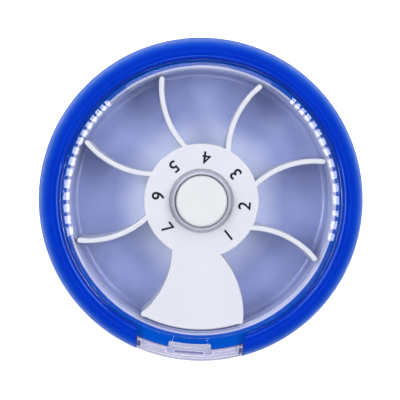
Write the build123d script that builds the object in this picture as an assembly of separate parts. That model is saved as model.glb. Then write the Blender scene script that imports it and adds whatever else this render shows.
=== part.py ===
from build123d import *
from math import acos, asin, cos, degrees, dist, pi, radians, sin, sqrt
import os

# Rotating pill organizer, in millimetres. It stands on z = 0 with its middle on the Z axis,
# and its door faces -Y. Angles about Z are in degrees, counter-clockwise seen from above.

# Clearances
fit_gap = 0.1
bearing_gap = 0.05
run_gap = 0.2
sweep_gap = 0.4
overrun = 1.0

# Case: outline, walls and foot
body_radius = 45.0
widest_height = 12.0
side_radius = 30.0
crown_fillet = 2.6
bottom_fillet = 4.5
parting_height = 9.0
case_wall = 1.6
floor_wall = 1.6
foot_radius = 37.0
foot_width = 4.0
foot_step = 0.4
lap_height = 1.5
lap_depth = 0.8

# Rim: the rolled bezel and the ledge under the cover
rim_width = 6.9
lip_fillet = 1.4
lip_wall = 1.6
ledge_width = 1.6
ledge_thickness = 1.4
ledge_cover = 0.1
crown_rise = 0.7

# Tray and compartments
tray_rise = 2.6
tray_wall = 0.8
tray_floor = 1.0
tray_fillet = 1.2
tray_edge_fillet = 0.3
compartment_depth = 15.3
spigot_height = 1.6
spigot_wall = 1.5
window_width = 26.0
window_top_margin = 1.0
chute_wall = 1.4
chute_depth = 2.4
rib_radii = (20.0, 31.0)
rib_wall = 1.2

# Wheel
compartments = 8
hub_radius = 15.6
hub_wall = 1.2
hub_top = 1.5
hub_edge_fillet = 0.3
hub_recess_depth = 1.9
hub_recess_gap = 0.7
vane_thickness = 1.45
vane_edge_fillet = 0.3
vane_hub_lag = -2.0
vane_bulge = 4.5
vane_bulge_radius = 23.9
blank_plate = 1.2
blank_edge_inset = 0.25
blank_wall = 1.2
tooth_depth = 1.3
tooth_ramp = 30.0

# Cover
cover_thickness = 1.5
cover_skirt = 0.7
cover_skirt_wall = 1.3
cover_bevel_width = 1.9
cover_bevel_drop = 0.5
cover_edge_fillet = 0.25
cover_inset = 0.6
collar_wall = 0.7
collar_rise = 0.8
collar_fillet = 0.25
hook_angles = (64, 116, 180, 244, 296)
hook_width = 15.8
hook_wall = 0.7
hook_drop = 0.9
front_strip_width = 14.5
front_hook_width = 16.3
front_hook_thickness = 1.0
front_tab_wall = 1.2
front_tab_drop = 1.6
front_edge_fillet = 0.25

# Button and drive
button_radius = 6.9
button_gap = 0.3
button_proud = 2.4
button_fillet = 0.9
button_travel = 3.0
cap_wall = 1.2
cap_top = 1.5
key_width = 1.2
key_depth = 0.6
shoulder_thickness = 1.4
stop_gap = 0.4
shank_wall = 0.9
shank_corner = 1.0
drive_gap = 0.15
lip_thickness = 1.2
lip_reach = 0.55
nut_wall = 0.85
journal_length = 3.6
drum_height = 3.8
drum_overhang = 0.75
snap_height = 0.6
snap_depth = 0.25
post_wall = 1.6
spring_radius = 2.6
spring_wire = 0.6
spring_turns = 8
spring_gap = 0.4
guide_height = 6.0

# Pawls
pawl_strip = 0.5
pawl_height = 2.2
pawl_arm_radius = 16.0
pawl_tip_inset = 0.65
pawl_arms = 2
pawl_key_width = 1.0
pawl_key_depth = 0.7

# Door and flap
door_width = 29.4
door_corner = 1.2
cheek_wall = 1.6
front_ledge_width = 4.2
flap_wall = 1.4
flap_side_wall = 1.2
flap_edge_fillet = 0.15
flap_bottom = 2.6
barrel_radius = 1.5
barrel_proud = 0.1
hinge_pin_radius = 0.75
hinge_pin_seat = 1.2
hinge_pin_cover = 0.35
nail_slot_length = 8.4
nail_slot_width = 0.9
nail_slot_depth = 0.9
nail_slot_setback = 0.75
panel_depth = 0.5
panel_margin = 0.6
panel_slant = 1.1
panel_inner_half = 5.4
panel_neck = 0.6

# Screws
screw_count = 4
screw_boss_radius = 2.3
screw_radius = 1.1
screw_core_radius = 0.9
screw_length = 9.0
screw_head_radius = 1.9
screw_head_height = 1.3
screw_head_fillet = 0.5
screw_head_sink = 2.4
screw_boss_height = 6.4
screw_drive_width = 0.6
screw_drive_length = 2.2
screw_drive_depth = 0.7

# Heights, from the foot up
floor_height = foot_step + floor_wall
tray_bottom = floor_height + tray_rise
tray_height = tray_bottom + tray_floor
wheel_height = tray_height + compartment_depth
cover_bottom = wheel_height + sweep_gap
cover_height = cover_bottom + cover_thickness
ledge_height = cover_bottom - cover_skirt
ledge_bottom = ledge_height - ledge_thickness
crown_height = cover_height + crown_rise
collar_height = cover_height + collar_rise
button_height = collar_height + button_proud
plunger_bottom = floor_height + button_travel + stop_gap
shank_bottom = plunger_bottom + lip_thickness
nut_bottom = shank_bottom + run_gap
drum_bottom = nut_bottom + journal_length
nut_height = drum_bottom + drum_height
post_height = drum_bottom - run_gap
shoulder_bottom = nut_height + button_travel + stop_gap
shoulder_height = shoulder_bottom + shoulder_thickness
hub_recess_floor = wheel_height - hub_recess_depth
collar_bottom = hub_recess_floor + sweep_gap
spigot_top = tray_height + spigot_height

# Depth at which inner walls end in the case's skin, inside the lap joint's outer lip too
join_depth = lap_depth / 2

# Radii, from the outside in
opening_radius = body_radius - rim_width
ledge_radius = opening_radius - ledge_width
tray_radius = ledge_radius + ledge_cover
tray_inner = tray_radius - tray_wall
vane_tip_radius = tray_inner - sweep_gap
blank_radius = vane_tip_radius - blank_edge_inset
cover_radius = opening_radius - cover_inset
hub_inner = hub_radius - hub_wall
spigot_radius = hub_inner - fit_gap
tooth_tip_radius = hub_inner - tooth_depth
collar_inner = button_radius + button_gap
collar_radius = collar_inner + collar_wall
hub_recess = collar_radius + hub_recess_gap
hub_hole = button_radius + sweep_gap

# Button drive, from the spring out
spring_bore = spring_radius + spring_wire / 2 + spring_gap
guide_radius = spring_radius - spring_wire / 2 - spring_gap
shank_half = spring_bore + shank_wall
nut_half = shank_half + drive_gap
corner_share = sqrt(2) - 1
nut_corner_reach = nut_half * sqrt(2) - shank_corner * corner_share
lip_radius = nut_corner_reach - drive_gap + lip_reach
journal_radius = nut_corner_reach + nut_wall
post_inner = journal_radius + bearing_gap
post_radius = post_inner + post_wall
drum_radius = post_radius + drum_overhang
spring_height = shoulder_height + cap_top
step_angle = 360 / compartments
twist_rate = -step_angle / button_travel

# Door and hinge
door_half = door_width / 2
flap_half = door_half - run_gap
front_ledge_radius = ledge_radius + front_ledge_width
flap_inner = front_ledge_radius + run_gap
sill_height = tray_bottom - fit_gap
pin_height = tray_height + barrel_proud - barrel_radius
pin_half = door_half + hinge_pin_seat
flap_floor = pin_height + barrel_radius
front = -90


def side_reach(height, inset=0):
    """Radius of the case's side, or of a line set in from it, at a height."""
    reach = side_radius - inset
    return body_radius - side_radius + sqrt(reach**2 - (height - widest_height) ** 2)


pin_setback = sqrt(side_reach(pin_height) ** 2 - pin_half**2) - hinge_pin_radius - hinge_pin_cover
screw_circle = (tray_radius + body_radius - case_wall) / 2


def polar(radius, angle):
    return (radius * cos(radians(angle)), radius * sin(radians(angle)))


def patch(left, right, low, high):
    """Upright rectangle from its sides."""
    return Pos((left + right) / 2, (low + high) / 2) * Rectangle(right - left, high - low)


def spin(section):
    """Solid of revolution of a section drawn as radius and height."""
    return revolve(Plane.XZ * section, Axis.Z)


def raise_face(face, low, high):
    """Upright prism of a plan face between two heights."""
    return extrude(Pos(0, 0, low) * face, high - low)


def block(left, right, back, fore, low, high):
    return raise_face(patch(left, right, back, fore), low, high)


def drum(radius, low, high):
    return raise_face(Circle(radius), low, high)


def sector(inner, outer, middle, width):
    """Plan face of a ring's sector, with its middle angle and width."""
    start = middle - width / 2
    far = CenterArc((0, 0), outer, start, width)
    near = CenterArc((0, 0), inner, start, width)
    return make_face([far, near, Line(near @ 0, far @ 0), Line(near @ 1, far @ 1)])


def nearest_corner(face, point):
    return face.vertices().sort_by_distance((*point, 0))[0]


def case_section(inset, low, high):
    """Section of the case filled in to the axis, set in from its outline.
    Its side is two arcs that meet at the widest height."""
    reach = side_radius - inset
    low_angle = degrees(asin((low - widest_height) / reach))
    high_angle = degrees(asin((high - widest_height) / reach))
    centre = (body_radius - side_radius, widest_height)
    lower = CenterArc(centre, reach, low_angle, -low_angle)
    upper = CenterArc(centre, reach, 0, high_angle)
    ends = Polyline(upper @ 1, (0, high), (0, low), lower @ 0)
    face = make_face([lower, upper, ends])
    face = fillet(nearest_corner(face, (side_reach(low, inset), low)), bottom_fillet - inset)
    return fillet(nearest_corner(face, (side_reach(high, inset), high)), crown_fillet - inset)


def case_wall_section():
    outside = case_section(0, 0, crown_height)
    return outside - case_section(case_wall, floor_height, crown_height - case_wall)


def case_solid(inset=0):
    return spin(case_section(inset, inset, crown_height - inset))


def far_reach():
    return body_radius + overrun


def door_cheeks(inner, low, high):
    """Walls on both sides of the door gap, which run out into the case's skin."""
    outer = door_half + cheek_wall
    plan = patch(-outer, outer, -far_reach(), 0) - patch(-door_half, door_half, -far_reach(), 0)
    return raise_face(plan - Circle(inner), low, high) & case_solid(join_depth)


def screw_spots():
    turn = 360 / screw_count
    return [Pos(*polar(screw_circle, turn * (n + 0.5))) for n in range(screw_count)]


def make_bottom_shell():
    section = case_wall_section() & patch(0, far_reach(), 0, parting_height)
    lap = case_section(lap_depth, 0, crown_height)
    lap -= case_section(case_wall, 0, crown_height - case_wall)
    section += lap & patch(0, far_reach(), parting_height, parting_height + lap_height)
    section -= patch(0, foot_radius - foot_width, 0, foot_step)
    section += patch(post_inner, post_radius, floor_height - floor_wall / 2, post_height)
    section += patch(0, guide_radius, floor_height - floor_wall / 2, floor_height + guide_height)
    for radius in rib_radii:
        section += patch(radius, radius + rib_wall, floor_height - floor_wall / 2, tray_bottom)
    snap_low = (nut_bottom + drum_bottom - snap_height) / 2
    section -= patch(
        post_inner - fit_gap,
        post_inner + snap_depth,
        snap_low - fit_gap,
        snap_low + snap_height + fit_gap,
    )
    shell = spin(section)
    shell += plunger_key(0)
    shell += door_cheeks(tray_radius + fit_gap, foot_step, parting_height)
    for spot in screw_spots():
        boss = spot * drum(screw_boss_radius, floor_height - floor_wall / 2, screw_boss_height)
        shell += boss & case_solid(join_depth)
    shell += make_sill()
    door_outer = door_half + cheek_wall + fit_gap
    lap_top = parting_height + lap_height + overrun
    shell -= block(-door_outer, door_outer, -far_reach(), -tray_radius / 2, parting_height, lap_top)
    swing_back = -(pin_setback - barrel_radius - run_gap)
    shell -= block(-door_half, door_half, -far_reach(), swing_back, -overrun, pin_height)
    shell -= block(-door_half, door_half, -far_reach(), -pin_setback, pin_height, sill_height)
    gap_plan = patch(-door_half, door_half, -far_reach(), 0) - Circle(tray_radius + fit_gap)
    shell -= raise_face(gap_plan, sill_height, lap_top)
    shell -= hinge_bar(barrel_radius + run_gap, door_half)
    shell -= hinge_bar(hinge_pin_radius, pin_half)
    for spot in screw_spots():
        shell -= spot * drum(screw_radius + fit_gap, 0, screw_boss_height + overrun)
        shell -= spot * drum(screw_head_radius + run_gap, -overrun, screw_head_sink)
    shell -= pawl_key(post_radius, holding_pawl_low(), fit_gap)
    return shell


def plunger_key(slack):
    """Rib in the post's bore, in a notch of the plunger's lip, which keeps the button from turning."""
    half = key_width / 2 + slack
    back = -post_inner - post_wall / 2
    fore = -lip_radius + key_depth + slack
    return block(-half, half, back, fore, floor_height - floor_wall / 2, shank_bottom)


def make_sill():
    """Step between the tray's window and the flap's barrel."""
    plan = patch(-door_half, door_half, -pin_setback, 0) - Circle(tray_radius + fit_gap)
    return raise_face(plan, foot_step, sill_height)


def hinge_bar(radius, half_length):
    bar = Plane.YZ * (Pos(-pin_setback, pin_height) * Circle(radius))
    return extrude(bar, half_length, both=True)


def make_rim_ring():
    section = case_wall_section() & patch(0, far_reach(), parting_height, crown_height)
    lap = case_section(lap_depth - fit_gap, 0, crown_height)
    lap_top = parting_height + lap_height + fit_gap
    section -= lap & patch(0, far_reach(), parting_height, lap_top)
    section -= patch(0, opening_radius, ledge_height, crown_height)
    lip_outer = opening_radius + lip_wall
    section += patch(opening_radius, lip_outer, ledge_bottom, crown_height - lip_fillet)
    section += patch(ledge_radius, lip_outer, ledge_bottom, ledge_height)
    lip_corner = nearest_corner(section, (opening_radius, crown_height))
    rim = spin(fillet(lip_corner, lip_fillet))
    rim += door_cheeks(tray_radius + fit_gap, parting_height, ledge_height)
    rim += door_cheeks(opening_radius + lip_fillet, ledge_bottom, crown_height)
    mouth_space = drum(opening_radius + lip_wall / 2, ledge_height, crown_height)
    for spot in screw_spots():
        rim += spot * drum(screw_boss_radius, screw_boss_height, crown_height - case_wall / 2) - mouth_space
    gap = patch(-door_half, door_half, -far_reach(), 0)
    rim -= raise_face(gap - Circle(ledge_radius), parting_height - overrun, ledge_bottom)
    rim -= raise_face(gap - Circle(front_ledge_radius), parting_height - overrun, crown_height + overrun)
    mouth = gap + Circle(opening_radius)
    corner = sqrt(opening_radius**2 - door_half**2)
    for side in (-1, 1):
        mouth = fillet(nearest_corner(mouth, (side * door_half, -corner)), door_corner)
    rim -= raise_face(mouth, ledge_height, crown_height + overrun)
    bridge_half = door_half + cheek_wall / 2
    bridge = patch(-bridge_half, bridge_half, -far_reach(), -ledge_radius / 2)
    bridge &= Circle(front_ledge_radius) - Circle(ledge_radius)
    rim += raise_face(bridge, ledge_bottom, ledge_height)
    for angle in hook_angles:
        notch = sector(tray_inner, cover_radius + fit_gap, front + angle, hook_width + hook_slack())
        rim -= raise_face(notch, ledge_height - hook_drop - fit_gap, ledge_height + overrun)
    tab_inner = front_tab_inner() - fit_gap
    tab_notch = sector(tab_inner, far_reach(), front, front_hook_width + hook_slack())
    rim -= raise_face(tab_notch, ledge_bottom - overrun, ledge_height + overrun)
    for spot in screw_spots():
        rim -= spot * drum(screw_core_radius, screw_boss_height - overrun, screw_tip() + overrun)
    return rim


def hook_slack():
    """Angle that leaves the fitting gap on both sides of a hook."""
    return degrees(2 * fit_gap / cover_radius)


def front_tab_inner():
    return front_ledge_radius - run_gap - front_tab_wall


def screw_tip():
    return screw_head_sink + screw_length


def make_case_screws():
    section = patch(0, screw_head_radius, screw_head_sink - screw_head_height, screw_head_sink)
    rim_point = (screw_head_radius, screw_head_sink - screw_head_height)
    section = fillet(nearest_corner(section, rim_point), screw_head_fillet)
    section += patch(0, screw_radius, screw_head_sink, screw_tip())
    screw = spin(section)
    slot_low = screw_head_sink - screw_head_height
    for turn in (0, 90):
        slot = Rot(0, 0, turn) * Rectangle(screw_drive_width, screw_drive_length)
        screw -= raise_face(slot, slot_low - overrun, slot_low + screw_drive_depth)
    return Compound(children=[spot * screw for spot in screw_spots()])


def make_pill_tray():
    floor = patch(post_radius + fit_gap, tray_radius, tray_bottom, tray_height)
    wall_top = ledge_bottom - fit_gap
    section = floor + patch(tray_inner, tray_radius, tray_bottom, wall_top)
    section = fillet(nearest_corner(section, (tray_inner, tray_height)), tray_fillet)
    section = fillet(nearest_corner(section, (tray_inner, wall_top)), tray_edge_fillet)
    section = fillet(nearest_corner(section, (tray_radius, tray_bottom)), tray_wall)
    section += patch(spigot_radius - spigot_wall, spigot_radius, tray_height, spigot_top)
    tray = spin(section)
    window_half = window_width / 2
    chute_half = window_half + chute_wall
    window_top = wall_top - window_top_margin
    chute = patch(-chute_half, chute_half, -far_reach(), 0) & sector(
        tray_inner + tray_wall / 2, tray_radius + chute_depth, front, 180
    )
    tray += raise_face(chute, tray_bottom, wall_top)
    tray -= block(-window_half, window_half, -far_reach(), -tray_inner / 2, tray_height, window_top)
    return tray - hinge_bar(barrel_radius + run_gap, door_half)


def vane_line(tip_angle):
    """Centre line of a vane, bulging counter-clockwise between hub and tip."""
    root = polar(hub_radius - hub_wall / 2, tip_angle + vane_hub_lag)
    bulge = polar(vane_bulge_radius, tip_angle + vane_bulge)
    tip = polar(vane_tip_radius - vane_thickness / 2, tip_angle)
    return ThreePointArc(root, bulge, tip)


def make_compartment_wheel():
    vane_bottom = tray_height + sweep_gap
    first_tip = front + step_angle / 2
    vanes = make_blank_sector(first_tip, vane_bottom)
    for n in range(compartments):
        plan = SlotArc(vane_line(first_tip + n * step_angle), vane_thickness)
        vane = raise_face(plan, vane_bottom, wheel_height)
        vanes += fillet(vane.edges().group_by(Axis.Z)[-1], vane_edge_fillet)
    wheel = make_hub() + (vanes - drum(hub_inner, 0, wheel_height))
    for n in range(compartments):
        wheel += Rot(0, 0, n * step_angle) * make_ratchet_tooth()
    return wheel


def make_hub():
    """Hub with a skirt, a flat top and a recess round the button, where the cover's collar hangs."""
    section = patch(hub_inner, hub_radius, tray_height + fit_gap, wheel_height)
    section += patch(hub_recess, hub_radius, wheel_height - hub_top, wheel_height)
    recess_wall = hub_recess + hub_top
    section += patch(hub_recess, recess_wall, hub_recess_floor - hub_top, wheel_height)
    section += patch(hub_hole, recess_wall, hub_recess_floor - hub_top, hub_recess_floor)
    for radius in (hub_recess, hub_radius):
        section = fillet(nearest_corner(section, (radius, wheel_height)), hub_edge_fillet)
    return spin(section)


def make_blank_sector(left_tip, low):
    """Closed sector between two vanes, with a wall that shuts the exit."""
    left = vane_line(left_tip)
    right = vane_line(left_tip - step_angle)
    edge = RadiusArc(left @ 1, right @ 1, vane_tip_radius - vane_thickness / 2)
    root = RadiusArc(left @ 0, right @ 0, hub_radius - hub_wall / 2)
    plate = raise_face(make_face([left, edge, right, root]), wheel_height - blank_plate, wheel_height)
    middle = left_tip - step_angle / 2
    wall = raise_face(sector(blank_radius - blank_wall, blank_radius, middle, step_angle), low, wheel_height)
    outer_edge = wall.edges().group_by(Axis.Z)[-1].sort_by(SortBy.LENGTH)[-1]
    return plate + fillet(outer_edge, vane_edge_fillet)


def make_ratchet_tooth():
    """Tooth inside the hub: its steep face looks counter-clockwise, its ramp runs clockwise."""
    root = hub_inner + hub_wall / 2
    plan = Polyline(
        polar(tooth_tip_radius, 0),
        polar(root, 0),
        polar(root, -tooth_ramp / 2),
        polar(root, -tooth_ramp),
        polar(hub_inner, -tooth_ramp),
        close=True,
    )
    return raise_face(make_face(plan), spigot_top + sweep_gap, nut_height)


def make_clear_cover():
    seat_height = ledge_height + bearing_gap
    section = patch(collar_inner, cover_radius, cover_bottom, cover_height)
    section += patch(cover_radius - cover_skirt_wall, cover_radius, seat_height, cover_height)
    bevel_start = (cover_radius - cover_bevel_width, cover_height)
    bevel_end = (cover_radius, cover_height - cover_bevel_drop)
    section -= make_face(Polyline(bevel_start, (cover_radius, cover_height), bevel_end, close=True))
    for corner in (bevel_start, bevel_end):
        section = fillet(nearest_corner(section, corner), cover_edge_fillet)
    section += patch(collar_inner, collar_radius, collar_bottom, collar_height)
    for radius in (collar_inner, collar_radius):
        section = fillet(nearest_corner(section, (radius, collar_height)), collar_fillet)
    cover = spin(section)
    for angle in hook_angles:
        tongue = sector(cover_radius - hook_wall, cover_radius, front + angle, hook_width)
        cover += raise_face(tongue, ledge_height - hook_drop, cover_bottom)
    tab_outer = front_ledge_radius - run_gap
    tab_top = seat_height + front_hook_thickness
    strip_inner = cover_radius - cover_skirt_wall
    cover += round_sided(sector(strip_inner, tab_outer, front, front_strip_width), seat_height, tab_top)
    tab = sector(front_tab_inner(), tab_outer, front, front_hook_width)
    return cover + round_sided(tab, ledge_height - front_tab_drop, tab_top)


def round_sided(face, low, high):
    """Prism of a sector whose straight top edges are rounded."""
    prism = raise_face(face, low, high)
    sides = prism.edges().group_by(Axis.Z)[-1].filter_by(GeomType.LINE)
    return fillet(sides, front_edge_fillet)


def make_button_cap():
    section = patch(0, button_radius, shoulder_height, button_height)
    section = fillet(nearest_corner(section, (button_radius, button_height)), button_fillet)
    return spin(section - patch(0, button_radius - cap_wall, shoulder_height, button_height - cap_top))


def shank_twist(height):
    return twist_rate * (height - shank_bottom)


def twisted_bar(half, low, high):
    """Square bar with rounded corners that twists clockwise as it rises."""
    square = RectangleRounded(2 * half, 2 * half, shank_corner)
    start = Pos(0, 0, low) * Rot(0, 0, shank_twist(low)) * square
    turn = shank_twist(high) - shank_twist(low)
    rise = (0, 0, high - low)
    return Part() + Solid.extrude_linear_with_rotation(start.face(), (0, 0, low), rise, turn)


def make_button_plunger():
    head_top = button_height - cap_top - fit_gap
    head = patch(0, button_radius - cap_wall - bearing_gap, shoulder_bottom, head_top)
    head += patch(0, button_radius, shoulder_bottom, shoulder_height)
    plunger = spin(head)
    plunger += twisted_bar(shank_half, shank_bottom, shoulder_bottom)
    plunger += drum(lip_radius, plunger_bottom, shank_bottom) - plunger_key(fit_gap)
    return plunger - drum(spring_bore, plunger_bottom - overrun, spring_height)


def make_drive_nut():
    section = patch(0, journal_radius, nut_bottom, drum_bottom)
    section += patch(0, drum_radius, drum_bottom, nut_height)
    snap_low = (nut_bottom + drum_bottom - snap_height) / 2
    section += patch(0, post_inner + snap_depth - fit_gap, snap_low, snap_low + snap_height)
    nut = spin(section) - twisted_bar(nut_half, nut_bottom - overrun, nut_height + overrun)
    return nut - pawl_key(drum_radius, drive_pawl_low(), fit_gap)


def drive_pawl_low():
    return drum_bottom + (drum_height - pawl_height) / 2


def holding_pawl_low():
    return post_height - pawl_height - run_gap


def pawl_key(seat_radius, low, slack):
    """Bar through the seat wall that keeps a pawl ring from turning on it."""
    half = pawl_key_width / 2 + slack
    inner = seat_radius - pawl_key_depth - slack
    outer = seat_radius + fit_gap + pawl_strip / 2
    return block(inner, outer, -half, half, low - slack, low + pawl_height + slack)


def make_pawl_ring(seat_radius, low):
    """Strip-steel ring with arms that spiral outwards clockwise to the ratchet teeth."""
    ring_inner = seat_radius + bearing_gap
    start = ring_inner + pawl_strip / 2
    tip_radius = hub_inner - pawl_tip_inset
    shift = start - pawl_arm_radius
    swing_cosine = (tip_radius**2 - shift**2 - pawl_arm_radius**2) / (2 * shift * pawl_arm_radius)
    arm_line = CenterArc((shift, 0), pawl_arm_radius, 0, -degrees(acos(swing_cosine)))
    tip = arm_line @ 1
    tip_angle = -degrees(acos(tip.X / tip_radius))
    tip_gap = degrees((pawl_strip / 2 + fit_gap) / tip_radius)
    arm = Rot(0, 0, tip_gap - tip_angle) * SlotArc(arm_line, pawl_strip)
    plan = Circle(ring_inner + pawl_strip) - Circle(ring_inner)
    for n in range(pawl_arms):
        plan += Rot(0, 0, 360 * n / pawl_arms) * arm
    ring = raise_face(plan, low, low + pawl_height)
    return ring + pawl_key(seat_radius, low, 0)


def make_return_spring():
    """Coil of quarter turns, each made of two arcs that meet smoothly."""
    rise = (spring_height - floor_height - spring_wire) / spring_turns
    low = floor_height + spring_wire / 2
    quarters = 4 * spring_turns

    def place(n):
        turn = n / 4
        x, y = polar(spring_radius, 360 * turn)
        return Vector(x, y, low + rise * turn)

    def heading(n):
        x, y = polar(2 * pi * spring_radius, 90 * n + 90)
        return Vector(x, y, rise).normalized()

    arcs = []
    for n in range(quarters):
        begin, end, out, into = place(n), place(n + 1), heading(n), heading(n + 1)
        chord = end - begin
        both = out + into
        a = both.dot(both) - 4
        b = -2 * chord.dot(both)
        c = chord.dot(chord)
        reach = (-b - sqrt(b * b - 4 * a * c)) / (2 * a)
        first_corner = begin + out * reach
        second_corner = end - into * reach
        middle = (first_corner + second_corner) * 0.5
        arcs.append(TangentArc(begin, middle, tangent=out))
        arcs.append(TangentArc(middle, end, tangent=second_corner - first_corner))
    path = Wire(arcs)
    section = Plane(origin=path @ 0, z_dir=path % 0) * Circle(spring_wire / 2)
    print("spring least gap", round(coil_gap(path), 2))
    return sweep(section, path=path)


def coil_gap(path):
    """Least gap between turns, measured on points along the wire."""
    samples = 24 * spring_turns
    points = [tuple(path @ (n / samples)) for n in range(samples + 1)]
    apart = samples // spring_turns // 2
    pairs = [(i, j) for i in range(samples + 1) for j in range(i + apart, samples + 1)]
    return min(dist(points[i], points[j]) for i, j in pairs) - spring_wire


def make_flap():
    case = case_solid()
    plan = patch(-flap_half, flap_half, -far_reach(), 0)
    upper = raise_face(plan - Circle(flap_inner), flap_floor, ledge_height)
    lower = block(-flap_half, flap_half, -far_reach(), -pin_setback, flap_bottom, flap_floor)
    flap = (upper + lower + hinge_bar(barrel_radius, flap_half)) & case
    pocket_half = flap_half - flap_side_wall
    pocket = block(-pocket_half, pocket_half, -far_reach(), 0, flap_floor, ledge_height - flap_wall)
    flap -= pocket & spin(case_section(flap_wall, 0, crown_height - flap_wall))
    flap -= hinge_bar(hinge_pin_radius + bearing_gap, flap_half + overrun)
    flap = fillet(flap.edges().group_by(Axis.Z)[-1], flap_edge_fillet)
    slot = Pos(0, -flap_inner - nail_slot_setback) * SlotOverall(nail_slot_length, nail_slot_width)
    flap -= raise_face(slot, ledge_height - nail_slot_depth, ledge_height + overrun)
    return flap - raise_face(sunk_panel(), ledge_height - panel_depth, ledge_height + overrun)


def sunk_panel():
    """Sunk panel on the flap's top: wide at both sides, and a narrow neck beyond the thumbnail slot."""
    near = flap_inner + panel_margin
    far = side_reach(ledge_height) - panel_margin
    outer = flap_half - flap_side_wall
    plan = patch(-outer, outer, -body_radius, 0) & (Circle(far) - Circle(near))
    land = Polyline(
        (-panel_inner_half - panel_slant, 0),
        (-panel_inner_half - panel_slant, -near),
        (-panel_inner_half, -far),
        (panel_inner_half, -far),
        (panel_inner_half + panel_slant, -near),
        (panel_inner_half + panel_slant, 0),
        close=True,
    )
    return plan - (make_face(land) & Circle(far - panel_neck))


def make_hinge_pin():
    return hinge_bar(hinge_pin_radius, pin_half)


pieces = {
    "bottom_shell": make_bottom_shell(),
    "rim_ring": make_rim_ring(),
    "case_screws": make_case_screws(),
    "pill_tray": make_pill_tray(),
    "compartment_wheel": make_compartment_wheel(),
    "clear_cover": make_clear_cover(),
    "button_cap": make_button_cap(),
    "button_plunger": make_button_plunger(),
    "drive_nut": make_drive_nut(),
    "drive_pawls": make_pawl_ring(drum_radius, drive_pawl_low()),
    "holding_pawl": make_pawl_ring(post_radius, holding_pawl_low()),
    "return_spring": make_return_spring(),
    "dispensing_flap": make_flap(),
    "flap_hinge_pin": make_hinge_pin(),
}

os.makedirs("parts", exist_ok=True)
for name, piece in pieces.items():
    export_step(piece, f"parts/{name}.step")
    print(name, round(piece.volume, 1))
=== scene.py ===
import bmesh
import bpy
from math import atan, cos, radians, sin, tan
from mathutils import Matrix, Vector


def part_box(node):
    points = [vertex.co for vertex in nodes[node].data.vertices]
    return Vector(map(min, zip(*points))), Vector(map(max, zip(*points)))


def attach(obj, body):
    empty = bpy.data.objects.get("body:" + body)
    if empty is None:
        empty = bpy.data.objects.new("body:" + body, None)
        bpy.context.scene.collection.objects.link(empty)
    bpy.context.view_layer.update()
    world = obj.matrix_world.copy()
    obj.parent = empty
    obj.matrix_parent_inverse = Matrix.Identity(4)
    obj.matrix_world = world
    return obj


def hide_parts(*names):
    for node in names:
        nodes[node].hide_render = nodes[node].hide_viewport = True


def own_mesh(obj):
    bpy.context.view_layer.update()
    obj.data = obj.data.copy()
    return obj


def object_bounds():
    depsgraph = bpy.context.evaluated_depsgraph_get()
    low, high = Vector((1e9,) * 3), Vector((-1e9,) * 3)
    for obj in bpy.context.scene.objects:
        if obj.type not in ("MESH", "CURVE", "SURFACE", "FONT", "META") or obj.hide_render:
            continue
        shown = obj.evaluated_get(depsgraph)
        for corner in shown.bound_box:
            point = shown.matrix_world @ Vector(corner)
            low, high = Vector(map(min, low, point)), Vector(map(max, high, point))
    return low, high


# Rotating pill organizer: finish, light and view. Lengths are in metres, in the solids' own frame.
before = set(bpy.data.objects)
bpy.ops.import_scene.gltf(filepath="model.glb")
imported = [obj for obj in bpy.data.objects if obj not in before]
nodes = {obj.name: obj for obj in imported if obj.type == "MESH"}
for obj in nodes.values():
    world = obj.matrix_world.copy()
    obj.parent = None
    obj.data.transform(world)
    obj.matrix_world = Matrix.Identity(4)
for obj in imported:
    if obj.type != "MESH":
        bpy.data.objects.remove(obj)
cad_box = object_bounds()
mm = 0.001

# The photograph's frame: the case's outline in pixels, and the turn of its door
photo_side = 400
case_centre_px = (200.8, 199.75)
case_radius_px = 161.1
photo_turn = radians(4.6)

# The view: a camera over the box, a little to the left and to the rear of its middle
camera_height = 345 * mm
camera_left = 5.6 * mm
camera_rear = 11.2 * mm
widest_height = 12 * mm

# Numbers on the hub, one beside each open sector of the wheel, counted from the door
sector_count = 8
label_count = sector_count - 1
label_step = radians(360 / sector_count)
door_angle = radians(-90)
first_label = door_angle + label_step
label_lag = radians(-2)
label_radius = 12.0 * mm
label_height = 3.3 * mm
digit_share = 0.7
label_thickness = 0.03 * mm
label_weight = 0.09 * mm
label_resolution = 6
join_share = 0.1

# Noise: the range that most of it lies in, and how fine it is
noise_range = (0.35, 0.65)
wave_detail = 1.0
soft_detail = 2.0
cloud_detail = 3.0
fine_detail = 4.0

# Moulded plastic: clouds in its colour, a fine grain, patches of gloss and light that goes into it
cloud_size = 14 * mm
grain_size = 0.22 * mm
grain_depth = 0.02 * mm
grain_strength = 0.25
patch_size = 2.5 * mm
patch_shares = (0.85, 1.15)
plastic_ior = 1.46
glow_radius = (1.0, 0.9, 0.9)
glow_scale = 1.2 * mm

# White and natural plastic: each shade with the shade of its clouds
wheel_shades = ((0.61, 0.62, 0.68), (0.59, 0.6, 0.66))
button_shades = ((0.57, 0.585, 0.61), (0.55, 0.565, 0.59))
white_roughness = 0.38
white_glow = 0.15
natural_shades = ((0.8, 0.79, 0.74), (0.74, 0.73, 0.68))
natural_roughness = 0.42
natural_glow = 0.2

# Blue case plastic: where its lip ends, its side begins and its ledge ends, and how they differ; its paler
# side is a painted reflection and its lighter ledge is painted light
blue_shades = ((0.0, 0.025, 0.41), (0.0, 0.021, 0.375))
blue_side_painted_reflection = (0.006, 0.08, 0.49)
blue_ledge_painted_light = (0.0, 0.06, 0.42)
lip_reach = (39.6 * mm, 40.8 * mm)
side_reach = (41.0 * mm, 44.0 * mm)
painted_ledge_light_reach = (40.8 * mm, 41.2 * mm)
painted_ledge_light_rise = (20.65 * mm, 20.85 * mm)
blue_roughness = (0.12, 0.6)
blue_patch_shares = (0.88, 1.12)
lip_shine = (0.4, 0.07)
side_shine = (0.0, 0.3)
shine_tint = (0.3, 0.7, 1.0)
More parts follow.
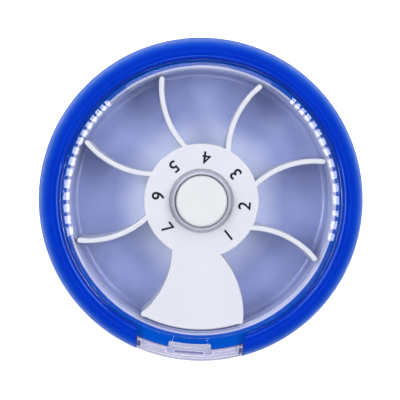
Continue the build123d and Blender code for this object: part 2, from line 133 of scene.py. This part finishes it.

# Clear plastic: scratches, waves and tints, with the heights where the flap's slot and panel begin and end;
# the slot's dark tint is painted shade
clear_tint = (0.985, 0.988, 0.995)
clear_roughness = 0.012
clear_share = 1.0
flap_tint = (0.68, 0.68, 0.82)
flap_roughness = 0.02
flap_clear_share = 0.9
slot_low = 19.5 * mm
slot_painted_shade = (0.24, 0.25, 0.44)
panel_low = 19.9 * mm
panel_tint = (0.95, 0.93, 1.0)
panel_high = 20.35 * mm
step_width = 0.1 * mm
clear_ior = 1.5
scratch_size = 0.25 * mm
scratch_stretch = (1.0, 0.06, 1.0)
scratch_turn = radians(35)
scratch_shares = (0.6, 1.4)
wave_size = 9 * mm
wave_depth = 0.05 * mm
wave_strength = 0.3

# Painted light on clear plastic: highlights faint at the round cover's edges and strong at those in front
# of it, and on the collar painted shade, lighter on its raised top
edge_reach = 0.35 * mm
edge_samples = 6
edge_turn = (0.99, 0.85)
edge_painted_highlight = (0.9, 0.89, 1.0)
cover_edge_painted_highlight = 0.12
front_edge_painted_highlight = 0.85
cover_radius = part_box("clear_cover")[1].x
front_start = 0.1 * mm
front_end = 0.3 * mm
front_reach = (cover_radius + front_start, cover_radius + front_end)
collar_reach = (8.35 * mm, 8.45 * mm)
collar_painted_shade_share = 0.9
collar_patch_share = 0.75
collar_painted_shade = (0.31, 0.3, 0.39)
collar_low = 22.9 * mm
collar_top_painted_light = (0.52, 0.51, 0.62)
painted_surface_roughness = 0.35
collar_speckle_size = 0.35 * mm

# Milky tray plastic: painted light near the hub and painted shade outwards, and painted light up its wall
milky_near_painted_light = (0.69, 0.75, 1.0)
milky_far_painted_shade = (0.315, 0.365, 0.645)
milky_wall_painted_light = (0.55, 0.59, 0.84)
milky_painted_shade_reach = (16 * mm, 26 * mm)
milky_painted_light_rise = (7 * mm, 16 * mm)
milky_cloud_size = 11 * mm
milky_cloud_share = 0.12
milky_roughness = 0.12
milky_patch_size = 1.5 * mm
milky_patch_shares = (0.8, 1.2)
milky_grain_size = 0.3 * mm
milky_grain_strength = 0.2
milky_ior = 1.5
milky_glow = 0.3
milky_glow_radius = (0.7, 0.8, 1.2)
milky_glow_scale = 1.5 * mm

# Steel: drawing lines and patches of a darker tone
spring_shade = (0.45, 0.45, 0.46)
spring_roughness = 0.3
screw_shade = (0.55, 0.55, 0.58)
screw_roughness = 0.35
line_stretch = (1.0, 1.0, 12.0)
line_size = 0.6 * mm
line_depth = 0.01 * mm
line_strength = 0.3
line_shares = (0.7, 1.3)
tone_size = 3 * mm
tone_share = 0.8

# Black ink
ink_shade = (0.003, 0.003, 0.006)
ink_patch_size = 0.3 * mm
ink_patch_share = 2.5
ink_roughness = (0.45, 0.6)
ink_shine = 0.15

# Stage: the floor, and a tent whose shares of height say where its bright ring begins and ends
floor_half = 1.5
floor_shades = ((0.92, 0.92, 0.92), (0.9, 0.9, 0.9))
floor_patch_size = 0.4
floor_roughness = 0.6
floor_glow = 0.55
white_light = (1, 1, 1, 1)
tent_light = 0.33
ring_light = 0.85
ring_outer_shares = (0.83, 0.87)
ring_inner_shares = (0.965, 0.985)
hole_share = 0.005

# Lights: rows of panels on the left and right, and wide panels at the rear and in front
row_reach = 0.45
side_rise = (radians(49), radians(65))
panel_pitch = 0.0416
panel_gap = 0.014
side_panels = 15
side_start = -0.16
side_light = 12.5
rear_rise = (radians(45), radians(65))
rear_width = 0.6
rear_light = 2.6
front_rise = (radians(58), radians(72))
front_width = 0.4
front_light = 3.4


def adder(tree):
    """A function that adds a node to an emptied tree, with its values and links."""
    tree.nodes.clear()

    def add(kind, inputs, **settings):
        node = tree.nodes.new("ShaderNode" + kind)
        for key, value in settings.items():
            setattr(node, key, value)
        for key, value in inputs.items():
            if isinstance(value, bpy.types.NodeSocket):
                tree.links.new(value, node.inputs[key])
            else:
                node.inputs[key].default_value = value
        return node.outputs[0] if node.outputs else None

    return add


def shader(name):
    """A new material and the function that adds its nodes."""
    material = bpy.data.materials.new(name)
    material.use_nodes = True
    return material, adder(material.node_tree)


def finish_with(add, surface):
    add("OutputMaterial", {"Surface": surface})


def opaque(shade):
    return (*shade, 1)


def object_place(add):
    """Coordinates that move with the piece."""
    return add("TexCoord", {}).node.outputs["Object"]


def plan_radius(add, place):
    """Distance from the box's middle line."""
    flat = add("VectorMath", {0: place, 1: (1, 1, 0)}, operation="MULTIPLY")
    return add("VectorMath", {0: flat}, operation="LENGTH").node.outputs["Value"]


def height_of(add, place):
    return add("SeparateXYZ", {0: place}).node.outputs["Z"]


def calculated(add, operation, first, second):
    return add("Math", {0: first, 1: second}, operation=operation)


def mixed(add, share, first, second):
    """A colour that goes from the first to the second as the share grows."""
    return add("MixRGB", {"Fac": share, "Color1": first, "Color2": second})


def ramp(add, value, start, end, low=0, high=1, kind="SMOOTHSTEP"):
    """A change from low to high while a value goes from start to end."""
    limits = {"From Min": start, "From Max": end, "To Min": low, "To Max": high}
    return add("MapRange", {"Value": value, **limits}, interpolation_type=kind)


def noise(add, place, size, detail):
    """Noise whose spots have about this size."""
    return add("TexNoise", {"Vector": place, "Scale": 1 / size, "Detail": detail})


def spread(add, value, low=0, high=1):
    """A noise value stretched to a range."""
    return ramp(add, value, *noise_range, low, high, kind="LINEAR")


def uneven(add, value, middle, shares):
    """A number that follows a noise value between two shares of its middle."""
    return spread(add, value, shares[0] * middle, shares[1] * middle)


def cloudy_colour(add, place, shade, cloud_shade):
    cloud = spread(add, noise(add, place, cloud_size, cloud_detail))
    return mixed(add, cloud, opaque(cloud_shade), opaque(shade))


def bump(add, height, depth, strength):
    return add("Bump", {"Height": height, "Distance": depth, "Strength": strength})


def grain_bump(add, place, size, strength):
    return bump(add, noise(add, place, size, cloud_detail), grain_depth, strength)


def moulded_plastic(name, shades, roughness, glow):
    """Moulded plastic: a faint cloud in its colour, a fine grain and uneven gloss."""
    material, add = shader(name)
    place = object_place(add)
    patches = noise(add, place, patch_size, fine_detail)
    finish_with(add, add("BsdfPrincipled", {
        "Base Color": cloudy_colour(add, place, *shades),
        "Roughness": uneven(add, patches, roughness, patch_shares),
        "Normal": grain_bump(add, place, grain_size, grain_strength),
        "IOR": plastic_ior,
        "Subsurface Weight": glow,
        "Subsurface Radius": glow_radius,
        "Subsurface Scale": glow_scale,
    }))
    return material


def case_plastic(name):
    """The case's blue plastic: polished at the lip of the opening, finely textured outside,
    a little paler on its side, a painted reflection, and lighter on the ledge that carries the cover,
    painted light."""
    material, add = shader(name)
    place = object_place(add)
    radius = plan_radius(add, place)
    outward = ramp(add, radius, *lip_reach)
    side = ramp(add, radius, *side_reach)
    # Painted light: the ledge under the cover is lighter blue.
    inside = ramp(add, radius, *painted_ledge_light_reach, 1, 0)
    under = ramp(add, height_of(add, place), *painted_ledge_light_rise, 1, 0)
    ledge = calculated(add, "MULTIPLY", inside, under)
    # Painted reflection: the case's side is paler blue.
    cloudy_with_painted_reflection = mixed(add, side, cloudy_colour(add, place, *blue_shades), opaque(blue_side_painted_reflection))
    patches = spread(add, noise(add, place, patch_size, fine_detail), *blue_patch_shares)
    smoothness = ramp(add, outward, 0, 1, *blue_roughness)
    lip_part = ramp(add, outward, 0, 1, *lip_shine)
    side_part = ramp(add, side, 0, 1, *side_shine)
    finish_with(add, add("BsdfPrincipled", {
        "Base Color": mixed(add, ledge, cloudy_with_painted_reflection, opaque(blue_ledge_painted_light)),
        "Roughness": calculated(add, "MULTIPLY", smoothness, patches),
        "Normal": grain_bump(add, place, grain_size, grain_strength),
        "IOR": plastic_ior,
        "Specular IOR Level": calculated(add, "ADD", lip_part, side_part),
        "Specular Tint": opaque(shine_tint),
    }))
    return material


def steps(add, value, first_shade, *changes):
    """A colour that changes in short steps as a value rises past the given places."""
    colour = opaque(first_shade)
    for place, shade in changes:
        passed = ramp(add, value, place - step_width / 2, place + step_width / 2)
        colour = mixed(add, passed, colour, opaque(shade))
    return colour


def sharp_edges(add):
    """A share that is 1 at sharp edges, where a rounded normal turns away from the face's own."""
    rounded = add("Bevel", {"Radius": edge_reach}, samples=edge_samples)
    own = add("NewGeometry", {}).node.outputs["Normal"]
    facing = add("VectorMath", {0: rounded, 1: own}, operation="DOT_PRODUCT").node.outputs["Value"]
    return ramp(add, facing, *edge_turn)


def clear_plastic(name, tint, roughness, clearness, *changes):
    """Clear plastic with hairline scratches and faint waves, painted highlights on its edges, painted shade
    on the collar round the button with painted light on its raised top, and other tints from given heights
    up. Light goes straight through it."""
    material, add = shader(name)
    place = object_place(add)
    height = height_of(add, place)
    radius = plan_radius(add, place)
    stretched = add("Mapping", {
        "Vector": place,
        "Scale": scratch_stretch,
        "Rotation": (0, 0, scratch_turn),
    })
    scratches = noise(add, stretched, scratch_size, fine_detail)
    waves = bump(add, noise(add, place, wave_size, wave_detail), wave_depth, wave_strength)
    glass = add("BsdfPrincipled", {
        "Base Color": steps(add, height, tint, *changes),
        "Roughness": uneven(add, scratches, roughness, scratch_shares),
        "Normal": waves,
        "IOR": clear_ior,
        "Transmission Weight": clearness,
    })
    # Painted highlights: whitish lines on sharp edges, faint on the round cover and strong in front of it.
    edge_highlight_strength = ramp(add, radius, *front_reach, cover_edge_painted_highlight, front_edge_painted_highlight)
    edges = calculated(add, "MULTIPLY", sharp_edges(add), edge_highlight_strength)
    collar_speckles = noise(add, place, collar_speckle_size, soft_detail)
    patchy = spread(add, collar_speckles, collar_patch_share * collar_painted_shade_share, collar_painted_shade_share)
    near = ramp(add, radius, *collar_reach, 1, 0)
    painted_light_and_shade_share = calculated(add, "MAXIMUM", edges, calculated(add, "MULTIPLY", near, patchy))
    # Painted shade on the collar round the button, with painted light on its raised top.
    collar_painted_shading = steps(add, height, collar_painted_shade, (collar_low, collar_top_painted_light))
    painted_light_and_shade_surface = add("BsdfPrincipled", {
        "Base Color": mixed(add, near, opaque(edge_painted_highlight), collar_painted_shading),
        "Roughness": painted_surface_roughness,
        "Normal": waves,
    })
    body = add("MixShader", {0: painted_light_and_shade_share, 1: glass, 2: painted_light_and_shade_surface})
    path = add("LightPath", {}).node.outputs
    lighting = calculated(add, "MAXIMUM", path["Is Shadow Ray"], path["Is Diffuse Ray"])
    straight = add("BsdfTransparent", {"Color": opaque(tint)})
    finish_with(add, add("MixShader", {0: lighting, 1: body, 2: straight}))
    return material


def milky_plastic(name):
    """Cloudy tray plastic: paler towards the hub and darker outwards, painted light and painted shade,
    and paler again up its wall, painted light."""
    material, add = shader(name)
    place = object_place(add)
    # Painted light near the hub and painted shade further out.
    away = ramp(add, plan_radius(add, place), *milky_painted_shade_reach)
    clouds = noise(add, place, milky_cloud_size, soft_detail)
    cloud = spread(add, clouds, -milky_cloud_share, milky_cloud_share)
    share = add("Math", {0: away, 1: cloud}, operation="ADD", use_clamp=True)
    floor_painted_light_and_shade = mixed(add, share, opaque(milky_near_painted_light), opaque(milky_far_painted_shade))
    # Painted light up the tray's wall.
    rise = ramp(add, height_of(add, place), *milky_painted_light_rise)
    patches = noise(add, place, milky_patch_size, fine_detail)
    finish_with(add, add("BsdfPrincipled", {
        "Base Color": mixed(add, rise, floor_painted_light_and_shade, opaque(milky_wall_painted_light)),
        "Roughness": uneven(add, patches, milky_roughness, milky_patch_shares),
        "Normal": grain_bump(add, place, milky_grain_size, milky_grain_strength),
        "IOR": milky_ior,
        "Subsurface Weight": milky_glow,
        "Subsurface Radius": milky_glow_radius,
        "Subsurface Scale": milky_glow_scale,
    }))
    return material


def drawn_steel(name, shade, roughness):
    """Steel with fine drawing lines, a patchy tone and uneven gloss."""
    material, add = shader(name)
    place = object_place(add)
    stretched = add("Mapping", {"Vector": place, "Scale": line_stretch})
    lines = noise(add, stretched, line_size, fine_detail)
    tone = spread(add, noise(add, place, tone_size, soft_detail))
    darker = [tone_share * part for part in shade]
    finish_with(add, add("BsdfPrincipled", {
        "Base Color": mixed(add, tone, opaque(darker), opaque(shade)),
        "Roughness": uneven(add, lines, roughness, line_shares),
        "Normal": bump(add, lines, line_depth, line_strength),
        "Metallic": 1,
    }))
    return material


def printed_ink(name):
    """Black ink, a little uneven where it lies on the grain."""
    material, add = shader(name)
    patchy = spread(add, noise(add, object_place(add), ink_patch_size, cloud_detail))
    paler = [ink_patch_share * part for part in ink_shade]
    finish_with(add, add("BsdfPrincipled", {
        "Base Color": mixed(add, patchy, opaque(ink_shade), opaque(paler)),
        "Roughness": spread(add, patchy, *ink_roughness),
        "Specular IOR Level": ink_shine,
    }))
    return material


def dress(material, *names):
    """Give solids their finish."""
    for name in names:
        slots = nodes[name].data.materials
        slots.clear()
        slots.append(material)


def dress_nodes():
    # Painted shade: the dark tint in the flap's slot.
    flap_changes = ((slot_low, slot_painted_shade), (panel_low, panel_tint), (panel_high, flap_tint))
    dress(case_plastic("blue_plastic"), "bottom_shell", "rim_ring")
    dress(moulded_plastic("white_plastic", wheel_shades, white_roughness, white_glow), "compartment_wheel")
    dress(moulded_plastic("button_white", button_shades, white_roughness, white_glow), "button_cap")
    dress(moulded_plastic("natural_plastic", natural_shades, natural_roughness, natural_glow),
          "button_plunger", "drive_nut")
    dress(clear_plastic("clear_plastic", clear_tint, clear_roughness, clear_share), "clear_cover")
    dress(clear_plastic("cloudy_plastic", flap_tint, flap_roughness, flap_clear_share, *flap_changes),
          "dispensing_flap")
    dress(milky_plastic("milky_plastic"), "pill_tray")
    dress(drawn_steel("spring_steel", spring_shade, spring_roughness),
          "return_spring", "drive_pawls", "holding_pawl")
    dress(drawn_steel("screw_steel", screw_shade, screw_roughness), "case_screws", "flap_hinge_pin")


def make_spring():
    """The return spring as a piece of its own, with its own mesh, carried by the housing."""
    spring = bpy.data.objects.new("button_spring", nodes["return_spring"].data.copy())
    bpy.context.scene.collection.objects.link(spring)
    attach(spring, "housing")
    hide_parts("return_spring")
    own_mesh(spring)


def widen_strokes(mesh):
    """Join the faces of a drawn number and move its outline outwards."""
    drawing = bmesh.new()
    drawing.from_mesh(mesh)
    bmesh.ops.remove_doubles(drawing, verts=drawing.verts, dist=join_share * label_thickness)
    drawing.normal_update()
    moves = [Vector((point.normal.x, point.normal.y, 0)).normalized() for point in drawing.verts]
    for point, move in zip(drawing.verts, moves):
        point.co += move * label_weight
    drawing.to_mesh(mesh)
    drawing.free()


def make_label(number, ink, top):
    """A printed number on the hub, with its head towards the button."""
    line = bpy.data.curves.new(f"label_line_{number}", "FONT")
    line.body = str(number)
    line.size = label_height / digit_share
    line.align_x = "CENTER"
    line.align_y = "CENTER"
    line.extrude = label_thickness / 2
    line.resolution_u = label_resolution
    drawn = bpy.data.objects.new("label_drawing", line)
    mesh = bpy.data.meshes.new_from_object(drawn)
    bpy.data.objects.remove(drawn)
    widen_strokes(mesh)
    label = bpy.data.objects.new(f"hub_number_{number}", mesh)
    angle = first_label + label_lag + (number - 1) * label_step
    label.location = (label_radius * cos(angle), label_radius * sin(angle), top + label_thickness / 2)
    label.rotation_euler = (0, 0, angle + radians(90))
    bpy.context.scene.collection.objects.link(label)
    mesh.materials.clear()
    mesh.materials.append(ink)
    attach(label, "wheel")


def make_labels():
    ink = printed_ink("black_print")
    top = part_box("compartment_wheel")[1].z
    for number in range(1, label_count + 1):
        make_label(number, ink, top)


def stage_mesh(name, points, faces, material):
    mesh = bpy.data.meshes.new(name)
    mesh.from_pydata(points, [], faces)
    mesh.materials.append(material)
    piece = bpy.data.objects.new(name, mesh)
    bpy.context.scene.collection.objects.link(piece)
    return piece


def make_floor():
    """A pale table that glows a little, as a lit photo table does."""
    material, add = shader("floor")
    shade, patch_shade = floor_shades
    patches = spread(add, noise(add, object_place(add), floor_patch_size, soft_detail))
    finish_with(add, add("BsdfPrincipled", {
        "Base Color": mixed(add, patches, opaque(patch_shade), opaque(shade)),
        "Roughness": floor_roughness,
        "Emission Color": white_light,
        "Emission Strength": floor_glow,
    }))
    corners = [(-1, -1), (1, -1), (1, 1), (-1, 1)]
    stage_mesh("floor", [(x * floor_half, y * floor_half, 0) for x, y in corners], [(0, 1, 2, 3)], material)


def make_tent():
    """A white tent: dim at the sides, with a bright ring overhead and a dark hole in it for the camera."""
    world = bpy.data.worlds.new("tent")
    bpy.context.scene.world = world
    world.use_nodes = True
    add = adder(world.node_tree)
    height = height_of(add, add("TexCoord", {}))
    rise = ramp(add, height, *ring_outer_shares, tent_light, ring_light)
    opening = ramp(add, height, *ring_inner_shares, 1, hole_share)
    strength = calculated(add, "MULTIPLY", rise, opening)
    add("OutputWorld", {"Surface": add("Background", {"Color": white_light, "Strength": strength})})


def make_light_row(name, turn, rise, start, count, pitch, gap, light):
    """A row of upright light panels on one side, between two angles of height as the box sees them.
    Start is where the row begins, along its length."""
    material, add = shader(name)
    finish_with(add, add("Emission", {"Color": white_light, "Strength": light}))
    out = Vector((cos(turn), sin(turn), 0))
    along = Vector((-sin(turn), cos(turn), 0))
    points = []
    faces = []
    for n in range(count):
        first = start + n * pitch
        last = first + pitch - gap
        corners = [(first, rise[0]), (last, rise[0]), (last, rise[1]), (first, rise[1])]
        faces.append(tuple(range(len(points), len(points) + len(corners))))
        points += [out * row_reach + along * place + Vector((0, 0, row_reach * tan(angle)))
                   for place, angle in corners]
    row = stage_mesh(name, points, faces, material)
    row.visible_camera = False


def make_lights():
    """Rows of panels on both sides, the left one a mirror image of the right, and two wide panels."""
    right = photo_turn
    left = photo_turn + radians(180)
    rear = photo_turn + radians(90)
    front = photo_turn - radians(90)
    row = (side_panels, panel_pitch, panel_gap, side_light)
    mirrored_start = -side_start - side_panels * panel_pitch
    make_light_row("right_panels", right, side_rise, side_start, *row)
    make_light_row("left_panels", left, side_rise, mirrored_start, *row)
    make_light_row("rear_panel", rear, rear_rise, -rear_width / 2, 1, rear_width, 0, rear_light)
    make_light_row("front_panel", front, front_rise, -front_width / 2, 1, front_width, 0, front_light)


def make_camera():
    """The photograph's view, with the case's outline where the photograph has it."""
    right = Vector((cos(photo_turn), sin(photo_turn), 0))
    up = Vector((-sin(photo_turn), cos(photo_turn), 0))
    pixel = (cad_box[1][0] - cad_box[0][0]) / 2 / case_radius_px
    middle = photo_side / 2
    aim = Vector((0, 0, widest_height))
    aim += right * (middle - case_centre_px[0]) * pixel - up * (middle - case_centre_px[1]) * pixel
    place = up * camera_rear - right * camera_left + Vector((0, 0, camera_height))
    ahead = (aim - place).normalized()
    side = ahead.cross(up).normalized()
    turn = Matrix((side, side.cross(ahead), -ahead)).transposed()
    view = bpy.data.cameras.new("camera")
    view.angle = 2 * atan(photo_side * pixel / 2 / (place - aim).length)
    camera = bpy.data.objects.new("camera", view)
    camera.matrix_world = Matrix.Translation(place) @ turn.to_4x4()
    bpy.context.scene.collection.objects.link(camera)
    bpy.context.scene.camera = camera


bpy.context.scene.view_settings.view_transform = "Standard"
dress_nodes()
make_spring()
make_labels()
make_floor()
make_tent()
make_lights()
make_camera()
